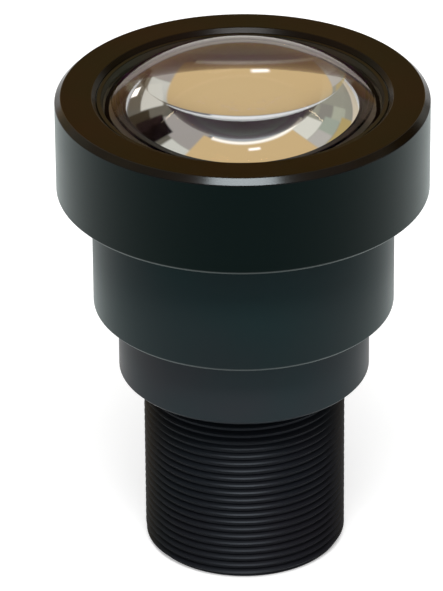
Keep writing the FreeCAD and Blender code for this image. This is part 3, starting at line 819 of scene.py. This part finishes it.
# Painted reflection: the bare edge's olive-brown tone stands in for the brownish reflections seen through the
# dome.
bare_edge_painted_reflection = ground("fine_ground_edge_painted_reflection", tone=(0.38, 0.30, 0.20), roughness=0.30)
GLASS_INDICES = {
    "lens_element_1": 1.66,
    "lens_element_2": 1.6968,
    "lens_element_3": 1.6968,
    "lens_element_4": 1.7847,
    "lens_element_5": 1.744,
    "lens_element_6": 1.744,
}

# %% [markdown]
# ## The six elements
#
# Elements 3 and 4 are cemented: between them there is no air, so light must bend there only by the ratio
# of the two indices, 1.7847 / 1.6968. Two coinciding surfaces would also flicker. So element 3's rear
# face gets a finish of index 1, which does nothing, element 4's front face gets the ratio as its index,
# and it stands off by 3 micrometres.

# %% Lens elements
GLASS_EASE = 0.03 * MM
GLASS_COLUMNS = 256
CEMENT_GAP = 3e-6
EDGE_TILT = 0.3
AT_EDGE = 0.9
NEAR_CEMENT = 0.02 * MM
FILM = 106.0

index_ratio = GLASS_INDICES["lens_element_4"] / GLASS_INDICES["lens_element_3"]
cement_pass = coated("cement_side_plain", 1.0, 0.0)
cement_bend = coated("cement_side_bending", index_ratio, 0.0)


def faces_of(edge_radius, cement=None, sense=0):
    """Finish 1 for the ground edge, finish 2 for the cemented surface, 0 elsewhere.

    The cemented surface is the arc cement (centre height, radius), where it looks up (sense 1) or down (-1).
    """
    def pick(middles, normals):
        radius = np.hypot(middles[:, 0], middles[:, 1])
        choice = ((abs(normals[:, 2]) < EDGE_TILT) & (radius > AT_EDGE * edge_radius)).astype(int)
        if cement is not None:
            centre, curve = cement
            near = abs(np.hypot(radius, middles[:, 2] - centre) - curve) < NEAR_CEMENT
            choice[near & (normals[:, 2] * sense > EDGE_TILT)] = 2
        return choice
    return pick


def cemented_arc(node, side):
    """Centre height and radius of the first (rear) or last (front) arc of an element."""
    path = outline(node)
    arcs = [run for run in runs(np.vstack([path, path[:1]])) if run[2] is not None]
    return arcs[side][2], arc_angles(arcs[side])[0]


for number in range(1, 7):
    name = f"lens_element_{number}"
    path = outline(name)
    edge_radius = path[:, 0].max()
    profile, leans = traced(path, GLASS_EASE)
    edge_finish = bare_edge_painted_reflection if number == 1 else edge_paint
    finishes = [coated(f"coated_glass_{number}", GLASS_INDICES[name], FILM), edge_finish]
    pick = faces_of(edge_radius)
    if number == 3:
        finishes.append(cement_pass)
        pick = faces_of(edge_radius, cemented_arc(name, 0), -1)
    if number == 4:
        finishes.append(cement_bend)
        centre, curve = cemented_arc(name, -1)
        pick = faces_of(edge_radius, (centre, curve), 1)
        on_cement = abs(np.hypot(profile[:, 0], profile[:, 1] - centre) - curve) < NEAR_CEMENT / 2
        profile[on_cement, 1] -= CEMENT_GAP
    piece = skin(f"{name}_polished", [lathe(profile, leans, GLASS_COLUMNS)], finishes, pick)
    stand_in(piece, name)

# %% [markdown]
# ## Spacers, stop, filter and the small rings
#
# These are plain turned or stamped pieces, most of them deep inside. Each is lathed from its own outline
# like the barrels, with an edge that suits it, and the finish says what it is: thin blackened steel for
# the stop, film for the washer, rolled brass for the shim, rubber under the filter.

# %% Finishes of the small pieces
ROLLING_MARKS_PER_METRE = 9000
ROLLING_STRETCH = (0.05, 1.0, 1.0)
ROLLING_DEPTH = 0.4e-6
RUBS_PER_METRE = 500

film_black = painted("black_polyester_film", tone=0.012, roughness=0.5, grain=0.5e-6)
rubber_black = painted("black_rubber_ring", tone=0.016, roughness=0.75, grain=2e-6)


def sheet_metal(name, tone, metallic, roughness):
    """Rolled sheet: fine straight rolling marks along X, and patches of slightly different tone."""
    finish, tree, shader = new_finish(name, Metallic=metallic, Specular_IOR_Level=0.4)
    place = add(tree, "ShaderNodeTexCoord").outputs["Object"]
    long_way = add(tree, "ShaderNodeMapping", {"Vector": place, "Scale": ROLLING_STRETCH}).outputs["Vector"]
    marks = mottle(tree, ROLLING_MARKS_PER_METRE, 0, 1, long_way)
    tree.links.new(blended(tree, marks, [0.85 * part for part in tone], tone), shader.inputs["Base Color"])
    emboss(tree, shader, marks, ROLLING_DEPTH)
    roughen(tree, shader, RUBS_PER_METRE, roughness)
    return finish


stop_steel = sheet_metal("blackened_stop_steel", (0.02, 0.02, 0.023), metallic=0.6, roughness=0.42)
brass = sheet_metal("rolled_brass", (0.62, 0.45, 0.17), metallic=1.0, roughness=0.3)
filter_glass = coated("filter_glass_cyan", index=1.517, film=260.0, coating=1.9)

# %% The small pieces
SMALL_PIECES = {
    "spacer_ring_1_2": ("turned", spacer_painted_purple, 0.02),
    "spacer_ring_2_3": ("turned", bore_black, 0.02),
    "glare_stop_washer": ("cut", film_black, 0.01),
    "aperture_stop": ("stamped", stop_steel, 0.02),
    "air_space_shim": ("stamped", brass, 0.015),
    "spacer_ring_5_6": ("turned", bore_black, 0.02),
    "rear_spacer_tube": ("turned", bore_black, 0.03),
    "ir_cut_filter": ("polished", filter_glass, 0.04),
    "filter_cushion_ring": ("moulded", rubber_black, 0.05),
}
for name, (how, finish, ease) in SMALL_PIECES.items():
    path = outline(name)
    polished = how == "polished"
    finishes = [finish, edge_paint] if polished else [finish]
    pick = faces_of(path[:, 0].max()) if polished else None
    piece = skin(f"{name}_{how}", [lathe(*traced(path, ease * MM), METAL_COLUMNS)], finishes, pick)
    stand_in(piece, name)

# %% [markdown]
# ## Floor, camera and light
#
# The lens stands on a plain pale floor. For camera rays the floor gets a little light of its own, so that
# it reads white where nothing shades it, while the shadow stays.
#
# The camera's place comes from the photo: with the diameters and heights of the four steps known, only
# one view makes all their ellipses agree. It is 324 mm away and 29 degrees up, with a long focal length,
# and it leans 0.35 degrees.

# %% Floor
FLOOR_SIZE = 6.0
FLOOR_LIFT = 0.32
FLOOR_SHADES_PER_METRE = 60
floor_mesh = bpy.data.meshes.new("floor")
half = FLOOR_SIZE / 2
floor_corners = [(-half, -half, 0), (half, -half, 0), (half, half, 0), (-half, half, 0)]
floor_mesh.from_pydata(floor_corners, [], [(0, 1, 2, 3)])
floor = bpy.data.objects.new("floor", floor_mesh)
bpy.context.scene.collection.objects.link(floor)

floor_finish, tree, shader = new_finish("pale_table", Roughness=0.6, Specular_IOR_Level=0.1)
pale = blended(tree, mottle(tree, FLOOR_SHADES_PER_METRE, 0, 1), [0.90] * 3, [0.92] * 3)
tree.links.new(pale, shader.inputs["Base Color"])
seen = add(tree, "ShaderNodeLightPath").outputs["Is Camera Ray"]
lift = add(tree, "ShaderNodeEmission", {"Strength": FLOOR_LIFT})
none = add(tree, "ShaderNodeEmission", {"Strength": 0.0})
chosen = add(tree, "ShaderNodeMixShader", {0: seen, 1: none.outputs[0], 2: lift.outputs[0]})
both = add(tree, "ShaderNodeAddShader", {0: shader.outputs[0], 1: chosen.outputs[0]})
tree.links.new(both.outputs[0], tree.nodes["Material Output"].inputs["Surface"])
floor_mesh.materials.append(floor_finish)

# %% Camera
FRAME_HEIGHT = 591
FOCAL_PIXELS = 5456.1
SHIFT_PIXELS = (-22.3, 14.8)
SENSOR = 36.0
ROLL = -0.35
AXIS_POINT = Vector((0, 0, 0.015))
CAMERA_PLACE = Vector((0, -0.28343, 0.17178))

camera_data = bpy.data.cameras.new("camera")
camera_data.sensor_fit = "AUTO"
camera_data.sensor_width = SENSOR
camera_data.lens = FOCAL_PIXELS * SENSOR / FRAME_HEIGHT
camera_data.shift_x = SHIFT_PIXELS[0] / FRAME_HEIGHT
camera_data.shift_y = SHIFT_PIXELS[1] / FRAME_HEIGHT
camera_data.clip_start = 0.01
camera_data.clip_end = 20
camera = bpy.data.objects.new("camera", camera_data)
camera.location = CAMERA_PLACE
straight = (AXIS_POINT - camera.location).to_track_quat("-Z", "Y")
camera.rotation_euler = (straight @ Quaternion((0, 0, 1), np.radians(ROLL))).to_euler()
bpy.context.scene.collection.objects.link(camera)
bpy.context.scene.camera = camera
print(f"camera: lens {camera_data.lens:.1f} mm, {(AXIS_POINT - camera.location).length / MM:.1f} mm away")

# %% [markdown]
# ## What the glass reflects
#
# Glass has no look of its own: it shows what stands round it. The flat rear face of the front element
# acts as a mirror seen from inside, and in the photo it shows a tan card behind the lens, from a few
# degrees above the table to about 46 degrees, with a dark opening and pale walls beside it and the bright
# edge of the ceiling above it.
#
# The world holds these as panels, each a range of directions. Rise is the angle above the table, and side
# is the angle round from straight behind the lens, positive to the camera's right. Camera rays see plain
# white instead, and matt surfaces get a plain soft light that grows from the table up, so the panels only
# live in glass and gloss. One lamp high in front lights the chamfer and the worn crests of the thread.

# %% The room
def softly(tree, value, low, high):
    """0 below low, 1 above high, and a smooth step between. With low above high it falls instead."""
    step = {"Value": value, "From Min": low, "From Max": high}
    return add(tree, "ShaderNodeMapRange", step, interpolation_type="SMOOTHSTEP").outputs["Result"]


def sums(tree, operation, first, second=0.0):
    """The result of one Math node."""
    return add(tree, "ShaderNodeMath", {0: first, 1: second}, operation=operation).outputs[0]


SOFT_EDGE = np.radians(1.2)
ROOM_GREY = (0.20, 0.20, 0.20)
FILL_AT_TABLE = 0.25
FILL_OVERHEAD = 1.2
PANELS = (
    # name, colour, rise from and to, side from and to, in degrees
    ("high ceiling", (0.52, 0.66, 0.62), 52, 82, -75, 60),
    ("ceiling", (0.36, 0.37, 0.38), 48, 53, -75, 60),
    ("right wall", (0.30, 0.29, 0.23), 8, 46, -110, 0),
    ("right upper wall", (0.68, 0.66, 0.58), 31, 45, -62, -42),
    ("right grey wall", (0.25, 0.235, 0.20), 26, 37, -80, -64),
    ("right far wall", (0.40, 0.40, 0.31), 15, 26, -80, -67),
    ("right green wall", (0.34, 0.37, 0.30), 18, 31, -68, -54),
    ("right pale wall", (0.46, 0.43, 0.39), 18, 31, -55, -42),
    ("right golden wall", (0.45, 0.34, 0.14), 6, 17.5, -72, -46),
    ("left wall", (0.12, 0.11, 0.085), 2, 44, 30, 110),
    ("left grey wall", (0.34, 0.31, 0.285), 29, 50, 28, 67),
    ("left bright wall", (0.60, 0.57, 0.50), 16, 36, 79, 104),
    ("left mint wall", (0.58, 0.57, 0.51), 6, 29, 30, 47),
    ("olive opening", (0.024, 0.020, 0.009), 2, 23.5, 66, 78),
    ("dark opening", (0.002, 0.001, 0.0004), 9, 33.5, 51, 70),
    ("left window", (1.8, 1.65, 1.5), 1.5, 9, 95, 103),
    ("tan card", (0.60, 0.425, 0.215), 6, 46, -42.5, 32),
    ("ceiling edge", (1.12, 1.04, 0.92), 45.2, 47.6, -58, 25),
    ("small light", (1.35, 1.25, 1.15), 39.5, 41.5, -12, -4),
    ("white table", (1.0, 0.99, 0.97), -90, 5.3, -64, 12),
    ("white table on the left", (1.0, 0.99, 0.97), -90, 3.0, 10.5, 33),
    ("pale things on the right", (0.66, 0.56, 0.42), -90, 7.5, -110, -64),
    ("white wall in front", (1.0, 0.99, 0.97), -90, 0, -180, 180),
)

world = bpy.data.worlds.new("soft_room")
bpy.context.scene.world = world
world.use_nodes = True
tree = world.node_tree
way = add(tree, "ShaderNodeSeparateXYZ", {"Vector": add(tree, "ShaderNodeTexCoord").outputs["Generated"]})
rise = sums(tree, "ARCSINE", way.outputs["Z"])
side = sums(tree, "ARCTAN2", way.outputs["X"], way.outputs["Y"])
colour = ROOM_GREY
for name, paint, *limits in PANELS:
    low, high, left, right = np.radians(limits)
    upright = sums(tree, "MULTIPLY", softly(tree, rise, low - SOFT_EDGE, low + SOFT_EDGE),
                   softly(tree, rise, high + SOFT_EDGE, high - SOFT_EDGE))
    level = sums(tree, "MULTIPLY", softly(tree, side, left - SOFT_EDGE, left + SOFT_EDGE),
                 softly(tree, side, right + SOFT_EDGE, right - SOFT_EDGE))
    colour = blended(tree, sums(tree, "MULTIPLY", upright, level), colour, paint, label=name)
room = add(tree, "ShaderNodeBackground", {"Color": colour})
white = add(tree, "ShaderNodeBackground", {"Color": (1, 1, 1, 1)})
brightening = {"Value": rise, "From Max": np.pi / 2, "To Min": FILL_AT_TABLE, "To Max": FILL_OVERHEAD}
glow = add(tree, "ShaderNodeMapRange", brightening)
fill = add(tree, "ShaderNodeBackground", {"Color": (1, 1, 1, 1), "Strength": glow.outputs["Result"]})
ray = add(tree, "ShaderNodeLightPath").outputs
lit = add(tree, "ShaderNodeMixShader", {0: ray["Is Diffuse Ray"], 1: room.outputs[0], 2: fill.outputs[0]})
shown = add(tree, "ShaderNodeMixShader", {0: ray["Is Camera Ray"], 1: lit.outputs[0], 2: white.outputs[0]})
tree.links.new(shown.outputs[0], tree.nodes["World Output"].inputs["Surface"])
bpy.context.scene.view_settings.view_transform = "Standard"
print("room:", len(PANELS), "panels of light")


# %% Lamps
def softbox(name, rise, distance, width, depth, radiance):
    """A rectangular lamp in front of the lens, at the angle rise. Its power is pi * radiance * area."""
    lamp_data = bpy.data.lights.new(name, "AREA")
    lamp_data.shape = "RECTANGLE"
    lamp_data.size = width
    lamp_data.size_y = depth
    lamp_data.energy = np.pi * radiance * width * depth
    lamp = bpy.data.objects.new(name, lamp_data)
    angle = np.radians(rise)
    lamp.location = AXIS_POINT + Vector((0, -distance * np.cos(angle), distance * np.sin(angle)))
    lamp.rotation_euler = (AXIS_POINT - lamp.location).to_track_quat("-Z", "Y").to_euler()
    bpy.context.scene.collection.objects.link(lamp)
    print(f"{name}: {lamp_data.energy:.2f} W")


softbox("front_lamp", rise=60, distance=0.6, width=0.30, depth=0.12, radiance=18)

# %% [markdown]
# ## Limits of the light paths
#
# A ray that goes down through all the elements and the filter crosses more than a dozen surfaces, and the
# reflections inside the front glass are counted as glossy bounces. The usual limits would turn those
# paths black.

# %% Light paths
paths = bpy.context.scene.cycles
paths.max_bounces = 32
paths.transmission_bounces = 32
paths.glossy_bounces = 12
